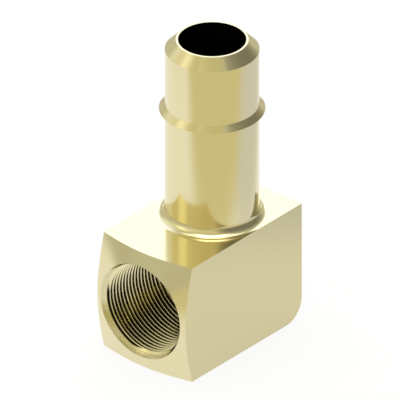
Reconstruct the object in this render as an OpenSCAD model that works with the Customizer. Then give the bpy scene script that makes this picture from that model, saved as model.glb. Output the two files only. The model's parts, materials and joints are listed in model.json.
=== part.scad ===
// Elbow hose barb: a square brass body with a tapped pipe port in front
// and an upright hose tail with one sharp barb.
// Millimetres, +Z up. The origin is where the axis of the tail meets the flat bottom.

/* [Body block] */

// Width of the body across the port
body_width = 54.8; // [52:0.1:70]
// Height of the body from its flat bottom to its top face
body_height = 62.3; // [56:0.1:80]
// Distance from the tail's axis back to the rear face
rear_reach = 33.8; // [30:0.1:60]
// Distance from the tail's axis forward to the four front corners
front_reach = 47.5; // [40:0.1:70]
// Radius of the rounded lower rear corner
rear_corner_radius = 11.4; // [2:0.1:20]
// Angle by which the turned front face leans back from the flat
front_cone_angle = 19.2; // [4:0.1:24]

/* [Pipe port] */

// Diameter of the countersink where it opens on the front face
mouth_diameter = 49.4; // [48.2:0.1:51]
// Full angle of the countersink
countersink_angle = 60; // [40:1:100]
// Diameter of the plain band behind the countersink, the thread's root diameter
band_diameter = 47.8; // [46:0.1:48]
// Length of the plain band
band_length = 1.7; // [0.5:0.1:4]
// Diameter of the port's wall at the thread's crests
port_diameter = 44.8; // [40:0.1:45.8]
// Depth of the full diameter past the front corners
port_depth = 45.5; // [38:0.1:47]
// Full angle of the drilled end of the port
port_point_angle = 118; // [90:1:150]

/* [Hose tail] */

// Outside diameter of the tail
tail_diameter = 45.2; // [42:0.1:46]
// Height of the tail above the top face of the body
tail_height = 95.1; // [80:0.1:140]
// Diameter of the flat rim left at the top of the tail
rim_diameter = 34.8; // [34:0.1:40]
// Height of the chamfer that leads up to the rim
chamfer_height = 5.2; // [2:0.1:10]
// Radius of the fillet between the tail and the top face
root_fillet_radius = 4.7; // [1:0.1:4.7]
// Diameter of the sharp edge of the barb
barb_diameter = 50.8; // [47:0.1:54]
// Height of the barb's edge above the top face of the body
barb_edge_height = 57.6; // [20:0.1:70]
// Height of the barb's cone, from its edge to where it meets the tail
barb_cone_height = 2.8; // [1:0.1:6]
// Diameter of the bore through the tail
bore_diameter = 32.4; // [20:0.1:33.4]
// Height above the flat bottom at which the bore's full diameter ends
bore_end_height = 27; // [22:0.1:30]
// Full angle of the drilled end of the bore
bore_point_angle = 118; // [90:1:150]

/* [Hidden] */

$fn = 144;

// Height of the port's axis above the bottom
port_axis_z = body_height / 2;
// Distance from the port's axis to a front corner
corner_radius = norm([body_width / 2, body_height / 2]);
// Height of the very top of the tail
top_z = body_height + tail_height;
// Distance by which cutting shapes run past the surfaces they open on
overrun = 3;

// Distance in front of the tail's axis at which the front face lies, for a radius about the port's axis
function face_reach(radius) = front_reach + (corner_radius - radius) * tan(front_cone_angle);

// Where the countersink opens, and where it gives way to the plain band
mouth_reach = face_reach(mouth_diameter / 2);
band_reach = mouth_reach - (mouth_diameter - band_diameter) / 2 / tan(countersink_angle / 2);
thread_reach = band_reach - band_length;
// Where the full diameter of the port ends, and how far the drilled end goes past it
port_end_reach = front_reach - port_depth;
port_point_length = port_diameter / 2 / tan(port_point_angle / 2);

// Side view of the body, drawn with the rear to the right
module body_profile() {
    difference() {
        translate([-face_reach(0), 0])
            square([face_reach(0) + rear_reach, body_height]);
        translate([rear_reach - rear_corner_radius, 0])
            difference() {
                square([rear_corner_radius, rear_corner_radius]);
                translate([0, rear_corner_radius])
                    circle(r = rear_corner_radius);
            }
    }
}

// Everything behind the turned front face, revolved about the port's axis
module turned_envelope() {
    outer = corner_radius + overrun;
    translate([0, 0, port_axis_z])
        rotate([90, 0, 0])
            rotate_extrude()
                polygon([
                    [0, -rear_reach - overrun],
                    [outer, -rear_reach - overrun],
                    [outer, face_reach(outer)],
                    [0, face_reach(0)]
                ]);
}

module body_block() {
    intersection() {
        translate([-body_width / 2, 0, 0])
            rotate([90, 0, 90])
                linear_extrude(height = body_width)
                    body_profile();
        turned_envelope();
    }
}

// The tail with its chamfer, barb and root fillet, carried down to the port's axis
module tail_solid() {
    tail_radius = tail_diameter / 2;
    barb_radius = barb_diameter / 2;
    edge_z = body_height + barb_edge_height;
    rotate_extrude() {
        polygon([
            [0, port_axis_z],
            [tail_radius, port_axis_z],
            [tail_radius, edge_z],
            [barb_radius, edge_z],
            [tail_radius, edge_z + barb_cone_height],
            [tail_radius, top_z - chamfer_height],
            [rim_diameter / 2, top_z],
            [0, top_z]
        ]);
        difference() {
            translate([0, body_height - overrun])
                square([tail_radius + root_fillet_radius, root_fillet_radius + overrun]);
            translate([tail_radius + root_fillet_radius, body_height + root_fillet_radius])
                circle(r = root_fillet_radius, $fn = 48);
        }
    }
}

// The port's space: countersink, plain band, wall at the thread's crests and drilled end
module port_space() {
    clear_reach = face_reach(0) + overrun;
    flare = (clear_reach - mouth_reach) * tan(countersink_angle / 2);
    step = (band_diameter - port_diameter) / 2;
    translate([0, 0, port_axis_z])
        rotate([90, 0, 0])
            rotate_extrude()
                polygon([
                    [0, port_end_reach - port_point_length],
                    [port_diameter / 2, port_end_reach],
                    [port_diameter / 2, thread_reach - step],
                    [band_diameter / 2, thread_reach],
                    [band_diameter / 2, band_reach],
                    [mouth_diameter / 2 + flare, clear_reach],
                    [0, clear_reach]
                ]);
}

// The tail's bore, drilled down from the rim into the port
module bore_space() {
    point_length = bore_diameter / 2 / tan(bore_point_angle / 2);
    rotate_extrude()
        polygon([
            [0, bore_end_height - point_length],
            [bore_diameter / 2, bore_end_height],
            [bore_diameter / 2, top_z + overrun],
            [0, top_z + overrun]
        ]);
}

// The whole fitting, machined from one piece of brass
module elbow_body() {
    color([0.78, 0.70, 0.42])
        difference() {
            union() {
                body_block();
                tail_solid();
            }
            port_space();
            bore_space();
        }
}

elbow_body();
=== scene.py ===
import json
import math

import bmesh
import bpy
from mathutils import Matrix, Vector


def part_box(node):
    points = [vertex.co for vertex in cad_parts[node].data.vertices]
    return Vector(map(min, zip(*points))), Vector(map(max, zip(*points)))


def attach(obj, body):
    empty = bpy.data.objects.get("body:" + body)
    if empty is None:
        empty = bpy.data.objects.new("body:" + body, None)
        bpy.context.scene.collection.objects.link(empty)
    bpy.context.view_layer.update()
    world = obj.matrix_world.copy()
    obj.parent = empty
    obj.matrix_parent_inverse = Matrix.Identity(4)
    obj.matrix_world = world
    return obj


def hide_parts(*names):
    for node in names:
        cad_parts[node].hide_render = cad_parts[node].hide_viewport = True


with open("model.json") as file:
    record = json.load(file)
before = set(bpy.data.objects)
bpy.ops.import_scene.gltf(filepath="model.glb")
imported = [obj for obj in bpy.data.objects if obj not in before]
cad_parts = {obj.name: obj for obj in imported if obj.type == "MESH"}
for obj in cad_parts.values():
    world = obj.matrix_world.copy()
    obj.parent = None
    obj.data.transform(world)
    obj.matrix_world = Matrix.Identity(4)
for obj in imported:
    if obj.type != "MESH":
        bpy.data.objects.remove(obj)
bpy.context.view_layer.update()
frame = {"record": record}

# Camera
# The fitting is seen from its front right corner and from above, with no
# perspective, so every upright edge stays upright in the picture.
camera_azimuth = math.radians(40)
camera_elevation = math.radians(30)
camera_distance = 1.2
view_width = 0.19064
view_centre = Vector((0.00260, -0.01210, 0.07523))
towards_camera = Vector((
    math.sin(camera_azimuth) * math.cos(camera_elevation),
    -math.cos(camera_azimuth) * math.cos(camera_elevation),
    math.sin(camera_elevation),
))
camera_data = bpy.data.cameras.new("camera")
camera_data.type = "ORTHO"
camera_data.ortho_scale = view_width
camera = bpy.data.objects.new("camera", camera_data)
camera.location = view_centre + towards_camera * camera_distance
camera.rotation_mode = "QUATERNION"
camera.rotation_quaternion = (-towards_camera).to_track_quat("-Z", "Y")
bpy.context.scene.collection.objects.link(camera)
bpy.context.scene.camera = camera


# Body block
# A length of square brass bar, rounded at its lower rear corner. The front end is
# turned on a lathe about the port's axis, which leaves a shallow cone.
mounts = {mount["name"]: mount for mount in frame["record"]["mounts"]}
body_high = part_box("elbow_body")[1]
port_axis_z = mounts["pipe_port"]["pos_m"][2]
half_width = body_high.x
body_height = 2 * port_axis_z
rear_reach = body_high.y
front_reach = 0.0475
rear_corner_radius = 0.0114
rear_corner_steps = 24
front_cone_angle = math.radians(19.2)
corner_radius = math.hypot(half_width, port_axis_z)
turning_steps = 288
# How far cutting shapes run past the surfaces that they open on
overrun = 0.003


def face_reach(radius):
    """How far the turned front face lies in front of the tail's axis at a radius about the port's axis."""
    return front_reach + (corner_radius - radius) * math.tan(front_cone_angle)


def closed_solid(name, points, faces):
    """A closed mesh object whose faces all point outwards."""
    mesh = bpy.data.meshes.new(name)
    shape = bmesh.new()
    corners = [shape.verts.new(point) for point in points]
    for face in faces:
        shape.faces.new([corners[index] for index in face])
    bmesh.ops.recalc_face_normals(shape, faces=shape.faces)
    shape.to_mesh(mesh)
    shape.free()
    made = bpy.data.objects.new(name, mesh)
    bpy.context.scene.collection.objects.link(made)
    return made


def turned_solid(name, profile, steps):
    """A solid of revolution about +Z. The profile runs along it from a point on the axis to another."""
    points = [(0, 0, profile[0][1])]
    for radius, height in profile[1:-1]:
        for step in range(steps):
            angle = 2 * math.pi * step / steps
            points.append((radius * math.cos(angle), radius * math.sin(angle), height))
    points.append((0, 0, profile[-1][1]))
    last = len(points) - 1
    rings = len(profile) - 2
    faces = []
    for step in range(steps):
        after = (step + 1) % steps
        faces.append((0, 1 + after, 1 + step))
        for ring in range(rings - 1):
            near = 1 + ring * steps
            far = near + steps
            faces.append((near + step, near + after, far + after, far + step))
        top = 1 + (rings - 1) * steps
        faces.append((top + step, top + after, last))
    return closed_solid(name, points, faces)


def lay_on_port_axis(solid):
    """Turns a solid made about +Z so that its heights become distances in front of the tail's axis."""
    laid_down = Matrix.Rotation(math.radians(90), 4, "X")
    solid.data.transform(Matrix.Translation((0, 0, port_axis_z)) @ laid_down)


bar_outline = [
    (-face_reach(0) - overrun, 0),
    (-face_reach(0) - overrun, body_height),
    (rear_reach, body_height),
]
for step in range(rear_corner_steps + 1):
    angle = math.radians(-90) * step / rear_corner_steps
    bar_outline.append((
        rear_reach - rear_corner_radius * (1 - math.cos(angle)),
        rear_corner_radius * (1 + math.sin(angle)),
    ))
count = len(bar_outline)
bar_points = [(side * half_width, y, z) for side in (-1, 1) for y, z in bar_outline]
bar_faces = [tuple(range(count)), tuple(range(count, 2 * count))]
for index in range(count):
    after = (index + 1) % count
    bar_faces.append((index, after, count + after, count + index))
elbow = closed_solid("bar", bar_points, bar_faces)

envelope_radius = corner_radius + overrun
turned_face = turned_solid("turned_face", [
    (0, -rear_reach - overrun),
    (envelope_radius, -rear_reach - overrun),
    (envelope_radius, face_reach(envelope_radius)),
    (0, face_reach(0)),
], turning_steps)
lay_on_port_axis(turned_face)


# Hose tail
# The tail is turned from the same bar. One sharp barb holds the hose, a chamfer
# leads it on, and a small fillet joins the tail to the flat top of the block.
tail_radius = mounts["hose_tail"]["dims"]["r_mm"] / 1000
tail_top = body_high.z
rim_radius = 0.0174
chamfer_height = 0.0052
root_fillet_radius = 0.0047
root_fillet_steps = 24
barb_radius = 0.0254
barb_edge_z = body_height + 0.0576
barb_cone_height = 0.0028
fillet_base = tail_radius + root_fillet_radius
tail_profile = [(0, port_axis_z), (fillet_base, port_axis_z)]
for step in range(root_fillet_steps + 1):
    angle = math.radians(90) * step / root_fillet_steps
    tail_profile.append((
        fillet_base - root_fillet_radius * math.sin(angle),
        body_height + root_fillet_radius * (1 - math.cos(angle)),
    ))
tail_profile += [
    (tail_radius, barb_edge_z),
    (barb_radius, barb_edge_z),
    (tail_radius, barb_edge_z + barb_cone_height),
    (tail_radius, tail_top - chamfer_height),
    (rim_radius, tail_top),
    (0, tail_top),
]
tail = turned_solid("tail", tail_profile, turning_steps)


# Pipe port
# The mouth is countersunk and bored out to the thread's root diameter for a short
# way. The hole behind it is drilled, and ends in the drill's cone.
mouth_radius = 0.0247
countersink_angle = math.radians(60)
countersink_slope = math.tan(countersink_angle / 2)
band_radius = 0.0239
band_length = 0.0017
crest_radius = mounts["pipe_port"]["dims"]["r_mm"] / 1000
port_end_reach = 0.002
drill_angle = math.radians(118)
drill_slope = math.tan(drill_angle / 2)
mouth_reach = face_reach(mouth_radius)
band_reach = mouth_reach - (mouth_radius - band_radius) / countersink_slope
thread_reach = band_reach - band_length
clear_reach = face_reach(0) + overrun
port = turned_solid("port", [
    (0, port_end_reach - crest_radius / drill_slope),
    (crest_radius, port_end_reach),
    (crest_radius, thread_reach - (band_radius - crest_radius)),
    (band_radius, thread_reach),
    (band_radius, band_reach),
    (mouth_radius + (clear_reach - mouth_reach) * countersink_slope, clear_reach),
    (0, clear_reach),
], turning_steps)
lay_on_port_axis(port)


# Waterway
# One straight hole is drilled down through the tail until it breaks into the port.
# Part of the drill's cone is left at its lower end, where the two holes cross.
bore_radius = 0.0162
bore_end_z = 0.027
bore = turned_solid("bore", [
    (0, bore_end_z - bore_radius / drill_slope),
    (bore_radius, bore_end_z),
    (bore_radius, tail_top + overrun),
    (0, tail_top + overrun),
], turning_steps)


# Pipe thread
# A right-handed parallel pipe thread, eleven turns to the inch with flanks at 55
# degrees, tapped until it runs out short of the drilled end.
pitch = 0.002309
root_radius = 0.02388
crest_clearance = 0.00003
# Depths behind the end of the plain band
thread_start = -0.0018
thread_end = 0.044
# How far before the thread's end its groove starts to get shallower
run_out = 0.004
# Half of a crest's flat and one flank, as shares of the pitch
crest_share = 1 / 12
flank_share = 1 / 3
rows_per_turn = 12
steps_around = 160
weld_distance = 1e-6
collapse_distance = 1e-7
thread_rows = math.ceil((thread_end - thread_start) / pitch + 1) * rows_per_turn


def add_node(tree, kind, inputs=(), **settings):
    """Adds a node, sets its options, and feeds its inputs, each of which is an output socket or a value."""
    added = tree.nodes.new(kind)
    for name, value in settings.items():
        setattr(added, name, value)
    for key, value in dict(inputs).items():
        if isinstance(value, bpy.types.NodeSocket):
            tree.links.new(value, added.inputs[key])
        else:
            added.inputs[key].default_value = value
    return added


def maths(tree, operation, *values, clamp=False):
    """The output of one Math node."""
    node = add_node(tree, "ShaderNodeMath", enumerate(values), operation=operation, use_clamp=clamp)
    return node.outputs[0]


thread_tree = bpy.data.node_groups.new("pipe_thread", "GeometryNodeTree")
thread_tree.interface.new_socket("Geometry", in_out="INPUT", socket_type="NodeSocketGeometry")
thread_tree.interface.new_socket("Geometry", in_out="OUTPUT", socket_type="NodeSocketGeometry")
thread_sizes = {
    "Pitch": pitch,
    "Crest Radius": crest_radius - crest_clearance,
    "Root Radius": root_radius,
    "Start Depth": thread_start,
    "End Depth": thread_end,
    "Run Out": run_out,
    "Rows": thread_rows,
    "Rows Per Turn": rows_per_turn,
    "Steps Around": steps_around,
}
brass = bpy.data.materials.new("brass")
thread_sockets = {}
for name, value in thread_sizes.items():
    kind = "NodeSocketInt" if isinstance(value, int) else "NodeSocketFloat"
    thread_sockets[name] = thread_tree.interface.new_socket(name, in_out="INPUT", socket_type=kind)
size = add_node(thread_tree, "NodeGroupInput").outputs
grid = add_node(thread_tree, "GeometryNodeMeshGrid", {
    "Size X": 1.0,
    "Size Y": 1.0,
    "Vertices X": maths(thread_tree, "ADD", size["Steps Around"], 1.0),
    "Vertices Y": maths(thread_tree, "ADD", size["Rows"], 3.0),
})
# The grid runs from -0.5 to 0.5 both ways, once round the port and row by row into it
grid_point = add_node(thread_tree, "GeometryNodeInputPosition").outputs[0]
place = add_node(thread_tree, "ShaderNodeSeparateXYZ", {0: grid_point}).outputs
turn = maths(thread_tree, "ADD", place["X"], 0.5)
row_count = maths(thread_tree, "ADD", size["Rows"], 2.0)
row = maths(thread_tree, "MULTIPLY", maths(thread_tree, "ADD", place["Y"], 0.5), row_count)
turns_in = maths(thread_tree, "DIVIDE", maths(thread_tree, "SUBTRACT", row, 1.0), size["Rows Per Turn"])
unbound = maths(
    thread_tree, "ADD",
    size["Start Depth"],
    maths(thread_tree, "MULTIPLY", size["Pitch"], maths(thread_tree, "SUBTRACT", turns_in, turn)),
)
past_start = maths(thread_tree, "MAXIMUM", unbound, size["Start Depth"])
depth = maths(thread_tree, "MINIMUM", past_start, size["End Depth"])
# Across one turn the wall rises from a flat crest over a straight flank to a flat root and back
across = maths(thread_tree, "PINGPONG", turns_in, 0.5)
up_the_flank = maths(thread_tree, "SUBTRACT", across, crest_share)
rise = maths(thread_tree, "DIVIDE", up_the_flank, flank_share, clamp=True)
# The groove gets deeper over its first turn and runs out at its inner end
from_start = maths(thread_tree, "SUBTRACT", depth, size["Start Depth"])
lead_in = maths(thread_tree, "DIVIDE", from_start, size["Pitch"], clamp=True)
from_end = maths(thread_tree, "SUBTRACT", size["End Depth"], depth)
lead_out = maths(thread_tree, "DIVIDE", from_end, size["Run Out"], clamp=True)
full_cut = maths(thread_tree, "SUBTRACT", size["Root Radius"], size["Crest Radius"])
cut_share = maths(thread_tree, "MULTIPLY", maths(thread_tree, "MULTIPLY", lead_in, lead_out), rise)
wall = maths(thread_tree, "MULTIPLY_ADD", cut_share, full_cut, size["Crest Radius"])
# The first and last rows close on the axis
is_open = maths(
    thread_tree, "MULTIPLY",
    maths(thread_tree, "GREATER_THAN", row, 0.5),
    maths(thread_tree, "LESS_THAN", row, maths(thread_tree, "SUBTRACT", row_count, 0.5)),
)
radius = maths(thread_tree, "MULTIPLY", wall, is_open)
angle = maths(thread_tree, "MULTIPLY", turn, 2 * math.pi)
wrapped = add_node(thread_tree, "ShaderNodeCombineXYZ", {
    "X": maths(thread_tree, "MULTIPLY", radius, maths(thread_tree, "COSINE", angle)),
    "Y": depth,
    "Z": maths(thread_tree, "MULTIPLY", radius, maths(thread_tree, "SINE", angle)),
})
rolled = add_node(thread_tree, "GeometryNodeSetPosition", {
    "Geometry": grid.outputs["Mesh"],
    "Position": wrapped.outputs[0],
})
welded = add_node(thread_tree, "GeometryNodeMergeByDistance", {
    "Geometry": rolled.outputs[0],
    "Distance": weld_distance,
})
real = add_node(thread_tree, "GeometryNodeRealizeInstances", {"Geometry": welded.outputs[0]})
painted = add_node(thread_tree, "GeometryNodeSetMaterial", {
    "Geometry": real.outputs[0],
    "Material": brass,
})
add_node(thread_tree, "NodeGroupOutput", {0: painted.outputs[0]})

thread_maker = bpy.data.objects.new("thread_maker", bpy.data.meshes.new("thread_maker"))
bpy.context.scene.collection.objects.link(thread_maker)
thread_modifier = thread_maker.modifiers.new("pipe_thread", "NODES")
thread_modifier.node_group = thread_tree
for name, value in thread_sizes.items():
    thread_modifier[thread_sockets[name].identifier] = value
made_thread = thread_maker.evaluated_get(bpy.context.evaluated_depsgraph_get())
thread_mesh = bpy.data.meshes.new_from_object(made_thread)
bpy.data.objects.remove(thread_maker)
thread_shape = bmesh.new()
thread_shape.from_mesh(thread_mesh)
bmesh.ops.dissolve_degenerate(thread_shape, dist=collapse_distance, edges=thread_shape.edges)
bmesh.ops.translate(thread_shape, vec=(0, -thread_reach, port_axis_z), verts=thread_shape.verts)
bmesh.ops.recalc_face_normals(thread_shape, faces=thread_shape.faces)
thread_shape.to_mesh(thread_mesh)
thread_shape.free()
thread = bpy.data.objects.new("thread", thread_mesh)
bpy.context.scene.collection.objects.link(thread)


# Finished body
# Bar, tail, port, thread and waterway are all one piece of metal, so the shapes
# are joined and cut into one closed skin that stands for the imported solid.
for tool, operation in (
    (turned_face, "INTERSECT"),
    (tail, "UNION"),
    (port, "DIFFERENCE"),
    (thread, "DIFFERENCE"),
    (bore, "DIFFERENCE"),
):
    cut_modifier = elbow.modifiers.new(tool.name, "BOOLEAN")
    cut_modifier.object = tool
    cut_modifier.operation = operation
    cut_modifier.solver = "MANIFOLD"
cut_elbow = elbow.evaluated_get(bpy.context.evaluated_depsgraph_get())
skin = bpy.data.meshes.new_from_object(cut_elbow)
for tool in (elbow, turned_face, tail, port, thread, bore):
    bpy.data.objects.remove(tool)
skin.name = "brass_elbow"
brass_elbow = bpy.data.objects.new("brass_elbow", skin)
bpy.context.scene.collection.objects.link(brass_elbow)

crease_angle = math.radians(24)
join_distance = 2e-7
# How far off a line a corner may lie and still count as on it
straight_line_margin = 1e-6
round_line_margin = 2e-5
shape = bmesh.new()
shape.from_mesh(skin)
bmesh.ops.remove_doubles(shape, verts=shape.verts, dist=join_distance)
bmesh.ops.dissolve_degenerate(shape, dist=collapse_distance, edges=shape.edges)
for face in shape.faces:
    face.smooth = True


def on_tangent_line(vertex):
    """True on the lines where a rounded stretch runs into a flat face with no corner."""
    x, y, z = vertex.co
    on_top = abs(z - body_height) < straight_line_margin
    at_fillet = on_top and abs(math.hypot(x, y) - fillet_base) < round_line_margin
    on_rear = abs(y - rear_reach) < straight_line_margin
    at_rear = on_rear and abs(z - rear_corner_radius) < straight_line_margin
    on_bottom = abs(z) < straight_line_margin
    at_bottom = on_bottom and abs(y - rear_reach + rear_corner_radius) < straight_line_margin
    return at_fillet or at_rear or at_bottom


for edge in shape.edges:
    sharp = len(edge.link_faces) == 2 and edge.calc_face_angle(0) > crease_angle
    edge.smooth = not (sharp or all(on_tangent_line(vertex) for vertex in edge.verts))
shape.to_mesh(skin)
shape.free()


# Brass
# Bright free-cutting brass. What is turned has fine tool marks, and the bar keeps its
# drawn grain. Its two sides are painted a darker brass, as painted shade. The waterway
# and the bottoms of the thread are painted black, as painted shade.
brass_colour = (0.785, 0.71, 0.44, 1)
# Painted shade: a darker copy of the brass for the bar's two sides
shaded_side_colour = (0.645, 0.582, 0.345, 1)
# Painted shade: near black for the waterway and the bottoms of the thread
painted_shade_colour = (0.010, 0.008, 0.005, 1)
brass_roughness = 0.14
# The roughness where the painted shade is
painted_shade_roughness = 0.55
# Depths below the crests of the thread at which the grooves' painted shade starts and is full
groove_shade_start = 0.0005
groove_shade_full = 0.0009
first_shade_start = 0.0001
# Angles round the port from its bottom, up the left side and over the top, which place the first turn's
# painted shade
shade_taper_end = math.radians(20)
high_shade_full = math.radians(90)
high_shade_end = math.radians(108)
shade_again_start = math.radians(150)
shade_again_full = math.radians(180)
# Distances behind the middle of the first groove, at which the painted shade starts
shade_front_lag = 0.0001
shade_taper_lag = 0.0009
shade_front_blend = 0.0002
later_shade_start = 0.0010
later_shade_full = 0.0012
# How far off a surface a point may lie and still count as on it
bore_margin = 0.00015
side_margin = 0.00002
thread_margin = 0.00005
turned_margin = 0.00003
band_margin = 0.0001
block_margin = 0.0001
# How far apart tool marks lie, and how steeply each climbs
port_feed = 0.0002
face_feed = 0.00012
tail_feed = 0.00015
band_mark_slope = 1.2
countersink_mark_slope = 0.25
fine_mark_slope = 0.006
grain_scale = 2600.0
grain_detail = 2.0
grain_height = 0.0000025
# The grain is drawn out along the bar
grain_squeeze = (1.0, 0.02, 1.0)
brass.use_nodes = True
coat = brass.node_tree
surface = coat.nodes["Principled BSDF"]
surface.inputs["Metallic"].default_value = 1.0


def smooth_step(tree, value, start, end):
    """A Map Range node's output that goes smoothly from 0 at start to 1 at end."""
    node = add_node(tree, "ShaderNodeMapRange", {
        "Value": value,
        "From Min": start,
        "From Max": end,
    }, interpolation_type="SMOOTHSTEP")
    return node.outputs["Result"]


def blend_colours(tree, share, first, second):
    """A Mix node's colour output, from the first colour to the second."""
    node = add_node(tree, "ShaderNodeMix", {"Factor": share}, data_type="RGBA")
    # The node's sockets for colours come after those for numbers and vectors
    for socket, colour in ((node.inputs[6], first), (node.inputs[7], second)):
        if isinstance(colour, bpy.types.NodeSocket):
            tree.links.new(colour, socket)
        else:
            socket.default_value = colour
    return node.outputs[2]


def distance_from_axis(tree, first, second):
    """The length of two coordinates taken together."""
    first_square = maths(tree, "MULTIPLY", first, first)
    second_square = maths(tree, "MULTIPLY", second, second)
    return maths(tree, "SQRT", maths(tree, "ADD", first_square, second_square))


object_place = add_node(coat, "ShaderNodeTexCoord").outputs["Object"]
where = add_node(coat, "ShaderNodeSeparateXYZ", {0: object_place})
x, y, z = where.outputs
below_port_axis = maths(coat, "SUBTRACT", port_axis_z, z)
from_tail_axis = distance_from_axis(coat, x, y)
from_port_axis = distance_from_axis(coat, x, below_port_axis)
# Painted shade in the waterway, full from the top of the block up and fading out towards its lower end
in_bore = maths(
    coat, "MULTIPLY",
    maths(coat, "LESS_THAN", from_tail_axis, bore_radius + bore_margin),
    smooth_step(coat, z, bore_end_z, body_height),
)
# The first groove passes the bottom of the port three quarters of the pitch behind the
# thread's start, and winds up the left side and over the top
first_groove_y = thread_start + 0.75 * pitch - thread_reach
from_bottom = maths(
    coat, "FLOORED_MODULO",
    maths(coat, "ARCTAN2", maths(coat, "MULTIPLY", x, -1.0), below_port_axis), 2 * math.pi,
)
first_turn = maths(coat, "MULTIPLY_ADD", from_bottom, pitch / (2 * math.pi), first_groove_y)
behind_first_turn = maths(coat, "SUBTRACT", y, first_turn)
# The first turn's painted shade starts in a taper at the bottom, and leaves the upper left unshaded
low_on_left = smooth_step(coat, from_bottom, high_shade_end, high_shade_full)
past_the_top = smooth_step(coat, from_bottom, shade_again_start, shade_again_full)
shade_taper = smooth_step(coat, from_bottom, shade_taper_end, 0.0)
shade_front = maths(coat, "MULTIPLY_ADD", shade_taper, shade_taper_lag, shade_front_lag)
behind_shade_front = maths(coat, "SUBTRACT", behind_first_turn, shade_front)
first_turn_shade = maths(
    coat, "MULTIPLY",
    smooth_step(coat, behind_shade_front, 0.0, shade_front_blend),
    maths(coat, "MAXIMUM", low_on_left, past_the_top),
)
later_turns_shade = smooth_step(coat, behind_first_turn, later_shade_start, later_shade_full)
either_shade = maths(coat, "MAXIMUM", first_turn_shade, later_turns_shade)
# Low on the left the painted shade reaches nearer the crests in the first turn than in the later ones
before_later_turns = maths(coat, "SUBTRACT", 1.0, later_turns_shade)
shade_stands_high = maths(coat, "MULTIPLY", low_on_left, before_later_turns)
unshaded_depth = maths(
    coat, "MULTIPLY_ADD",
    shade_stands_high, first_shade_start - groove_shade_start, groove_shade_start,
)
below_crest = maths(coat, "SUBTRACT", from_port_axis, crest_radius)
below_shade_edge = maths(coat, "SUBTRACT", below_crest, unshaded_depth)
in_port = maths(
    coat, "MULTIPLY",
    maths(coat, "LESS_THAN", from_port_axis, band_radius),
    maths(coat, "LESS_THAN", y, 0.0),
)
deep_in_groove = maths(
    coat, "MULTIPLY",
    smooth_step(coat, below_shade_edge, 0.0, groove_shade_full - groove_shade_start),
    in_port,
)
in_groove = maths(coat, "MULTIPLY", deep_in_groove, either_shade)
# All the painted shade: the waterway and the thread's grooves
in_painted_shade = maths(coat, "MAXIMUM", in_bore, in_groove)
on_bar_side = maths(coat, "GREATER_THAN", maths(coat, "ABSOLUTE", x), half_width - side_margin)
metal_colour = blend_colours(coat, on_bar_side, brass_colour, shaded_side_colour)
coat.links.new(blend_colours(coat, in_painted_shade, metal_colour, painted_shade_colour), surface.inputs["Base Color"])
roughness = maths(coat, "MULTIPLY_ADD", in_painted_shade, painted_shade_roughness - brass_roughness, brass_roughness)
coat.links.new(roughness, surface.inputs["Roughness"])


def feed_marks(along, feed, slope):
    """The height of fine tool marks, each of which climbs along a coordinate and drops back at once."""
    return maths(coat, "MULTIPLY", maths(coat, "FLOORED_MODULO", along, feed), slope)


def between(value, low, high):
    """1 where a value lies between two others, and 0 elsewhere."""
    above_low = maths(coat, "GREATER_THAN", value, low)
    below_high = maths(coat, "LESS_THAN", value, high)
    return maths(coat, "MULTIPLY", above_low, below_high)


before_thread = maths(coat, "LESS_THAN", y, -thread_reach + thread_margin)
in_band = maths(
    coat, "MULTIPLY", before_thread,
    between(from_port_axis, band_radius - band_margin, band_radius + turned_margin),
)
in_countersink = maths(
    coat, "MULTIPLY", before_thread,
    between(from_port_axis, band_radius + turned_margin, mouth_radius + turned_margin),
)
on_face = maths(
    coat, "MULTIPLY",
    maths(coat, "LESS_THAN", y, -front_reach + block_margin),
    maths(coat, "GREATER_THAN", from_port_axis, mouth_radius + turned_margin),
)
on_tail = maths(coat, "GREATER_THAN", z, body_height + root_fillet_radius)
on_block = maths(
    coat, "MULTIPLY",
    maths(coat, "SUBTRACT", 1.0, on_face),
    maths(coat, "LESS_THAN", z, body_height + block_margin),
)
grain_place = add_node(coat, "ShaderNodeVectorMath", {
    0: object_place,
    1: grain_squeeze,
}, operation="MULTIPLY").outputs[0]
grain = add_node(coat, "ShaderNodeTexNoise", {
    "Vector": grain_place,
    "Scale": grain_scale,
    "Detail": grain_detail,
}).outputs[0]
marks = 0.0
for part, mark_height in (
    (in_band, feed_marks(y, port_feed, band_mark_slope)),
    (in_countersink, feed_marks(y, port_feed, countersink_mark_slope)),
    (on_face, feed_marks(from_port_axis, face_feed, fine_mark_slope)),
    (on_tail, feed_marks(z, tail_feed, fine_mark_slope)),
    (on_block, maths(coat, "MULTIPLY", grain, grain_height)),
):
    marks = maths(coat, "MULTIPLY_ADD", part, mark_height, marks)
bump = add_node(coat, "ShaderNodeBump", {"Height": marks, "Strength": 1.0, "Distance": 1.0})
coat.links.new(bump.outputs["Normal"], surface.inputs["Normal"])
skin.materials.clear()
skin.materials.append(brass)
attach(brass_elbow, "root")
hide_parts("elbow_body")


# Floor
# A sheet of plain white paper, which takes the fitting's soft shadow. Past the edges
# of the picture it is painted with light and shade: warmer towards the camera, greyer
# to the right, and darker where it meets the room.
floor_size = 6.0
floor_thickness = 0.002
# The share of the paper's white that doesn't depend on the light, where it is seen or mirrored
own_glow = 0.88
floor_white = (1.0, 1.0, 1.0, 1)
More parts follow.
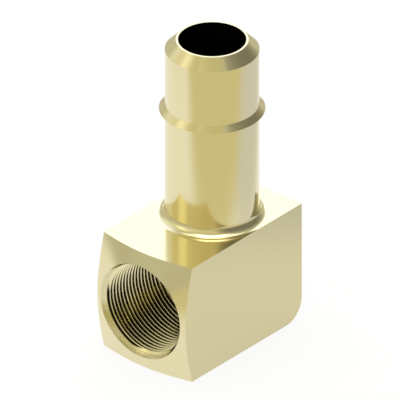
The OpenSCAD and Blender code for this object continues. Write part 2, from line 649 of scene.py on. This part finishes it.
# Painted shade and light on the paper past the picture, which the brass mirrors
floor_right = (0.745, 0.755, 0.80, 1)
floor_front = (0.745, 0.70, 0.45, 1)
floor_far = (0.60, 0.58, 0.475, 1)
floor_corners = [
    (across * floor_size / 2, away * floor_size / 2, height)
    for height in (-floor_thickness, 0.0)
    for across, away in ((-1, -1), (1, -1), (1, 1), (-1, 1))
]
floor_sides = [(0, 1, 2, 3), (4, 5, 6, 7), (0, 1, 5, 4), (1, 2, 6, 5), (2, 3, 7, 6), (3, 0, 4, 7)]
floor = closed_solid("floor", floor_corners, floor_sides)
floor_paint = bpy.data.materials.new("floor_paint")
floor_paint.use_nodes = True
paper = floor_paint.node_tree
paper.nodes.clear()
spot = add_node(paper, "ShaderNodeTexCoord").outputs["Object"]


def floor_distance(azimuth):
    """How far a point of the floor lies out in a direction, in degrees from +X towards +Y."""
    turn = math.radians(azimuth)
    outward = (math.cos(turn), math.sin(turn), 0)
    node = add_node(paper, "ShaderNodeVectorMath", {0: spot, 1: outward}, operation="DOT_PRODUCT")
    return node.outputs["Value"]


all_round = add_node(paper, "ShaderNodeVectorMath", {0: spot}, operation="LENGTH").outputs["Value"]
paper_colour = floor_white
# Each colour blends in between two distances: to the right, in front, on the left, all round
for distance, start, end, colour in (
    (floor_distance(40), 0.085, 0.17, floor_right),
    (floor_distance(-42), 0.07, 0.165, floor_front),
    (floor_distance(-140), 0.25, 0.45, floor_far),
    (all_round, 0.33, 0.60, floor_far),
):
    paper_colour = blend_colours(paper, smooth_step(paper, distance, start, end), paper_colour, colour)
path = add_node(paper, "ShaderNodeLightPath").outputs
seen_directly = maths(
    paper, "MAXIMUM",
    maths(paper, "MAXIMUM", path["Is Camera Ray"], path["Is Glossy Ray"]),
    path["Is Transmission Ray"],
)
lit_paper = add_node(paper, "ShaderNodeBsdfDiffuse", {"Color": paper_colour})
plain_paper = add_node(paper, "ShaderNodeEmission", {"Color": paper_colour, "Strength": 1.0})
mixed = add_node(paper, "ShaderNodeMixShader", {
    0: maths(paper, "MULTIPLY", seen_directly, own_glow),
    1: lit_paper.outputs[0],
    2: plain_paper.outputs[0],
})
add_node(paper, "ShaderNodeOutputMaterial", {"Surface": mixed.outputs[0]})
floor.data.materials.append(floor_paint)


# Studio light
# A pale room with a wide soft light overhead, a bright one behind the fitting and
# warmer ones in front and on the left, where one has a bright streak. A dark screen
# on the right gives the brass its depth.
world = bpy.data.worlds.new("studio")
bpy.context.scene.world = world
world.use_nodes = True
studio = world.node_tree
seen = add_node(studio, "ShaderNodeTexCoord").outputs["Generated"]
# The cosine of the angle to a panel's middle from which the panel shows in full
fully_ahead = 0.1


def panel(azimuth, elevation, half_across, half_up, edge):
    """1 inside a soft-edged rectangle seen in a direction, and 0 outside.

    All are angles in degrees, and the azimuth goes from +X towards +Y.
    """
    turn = math.radians(azimuth)
    tilt = math.radians(elevation)
    facing = Vector((
        math.cos(turn) * math.cos(tilt),
        math.sin(turn) * math.cos(tilt),
        math.sin(tilt),
    ))
    across = Vector((-math.sin(turn), math.cos(turn), 0))
    upward = facing.cross(across)
    ahead, sideways, height = (
        add_node(studio, "ShaderNodeVectorMath", {
            0: seen,
            1: axis,
        }, operation="DOT_PRODUCT").outputs["Value"]
        for axis in (facing, across, upward)
    )
    share = smooth_step(studio, ahead, 0.0, fully_ahead)
    for offset, half in ((sideways, half_across), (height, half_up)):
        slope = maths(studio, "ABSOLUTE", maths(studio, "DIVIDE", offset, ahead))
        inside = smooth_step(
            studio, slope,
            math.tan(math.radians(half + edge / 2)),
            math.tan(math.radians(half - edge / 2)),
        )
        share = maths(studio, "MULTIPLY", share, inside)
    return share


room_colour = (0.66, 0.65, 0.545, 1)
# Each covers the ones before it
lights = [
    # In front, low and then high
    (panel(-50, 10, 40, 52, 22), (0.62, 0.575, 0.265, 1)),
    (panel(-50, 34, 36, 16, 20), (0.80, 0.745, 0.55, 1)),
    # The dark screen on the right
    (panel(27, 12, 49, 40, 40), (0.24, 0.23, 0.195, 1)),
    # On the left: high up, lower down, the bright streak, and far round
    (panel(-110, 58, 30, 12, 20), (0.68, 0.63, 0.37, 1)),
    (panel(-132, 33, 40, 14, 30), (0.90, 0.87, 0.64, 1)),
    (panel(-128, 33, 10, 13, 14), (1.32, 1.28, 1.00, 1)),
    (panel(176, 38, 17, 14, 14), (1.02, 1.05, 1.08, 1)),
    # Behind the fitting
    (panel(130, 30, 24, 20, 10), (1.5, 1.6, 1.85, 1)),
    # Overhead, and its brighter middle
    (panel(-50, 90, 24, 24, 6), (1.5, 1.5, 1.5, 1)),
    (panel(-50, 90, 13, 13, 6), (4.5, 4.5, 4.5, 1)),
]
light = room_colour
for share, colour in lights:
    light = blend_colours(studio, share, light, colour)
background = studio.nodes["Background"]
studio.links.new(light, background.inputs["Color"])
background.inputs["Strength"].default_value = 1.0
bpy.context.scene.view_settings.view_transform = "Standard"
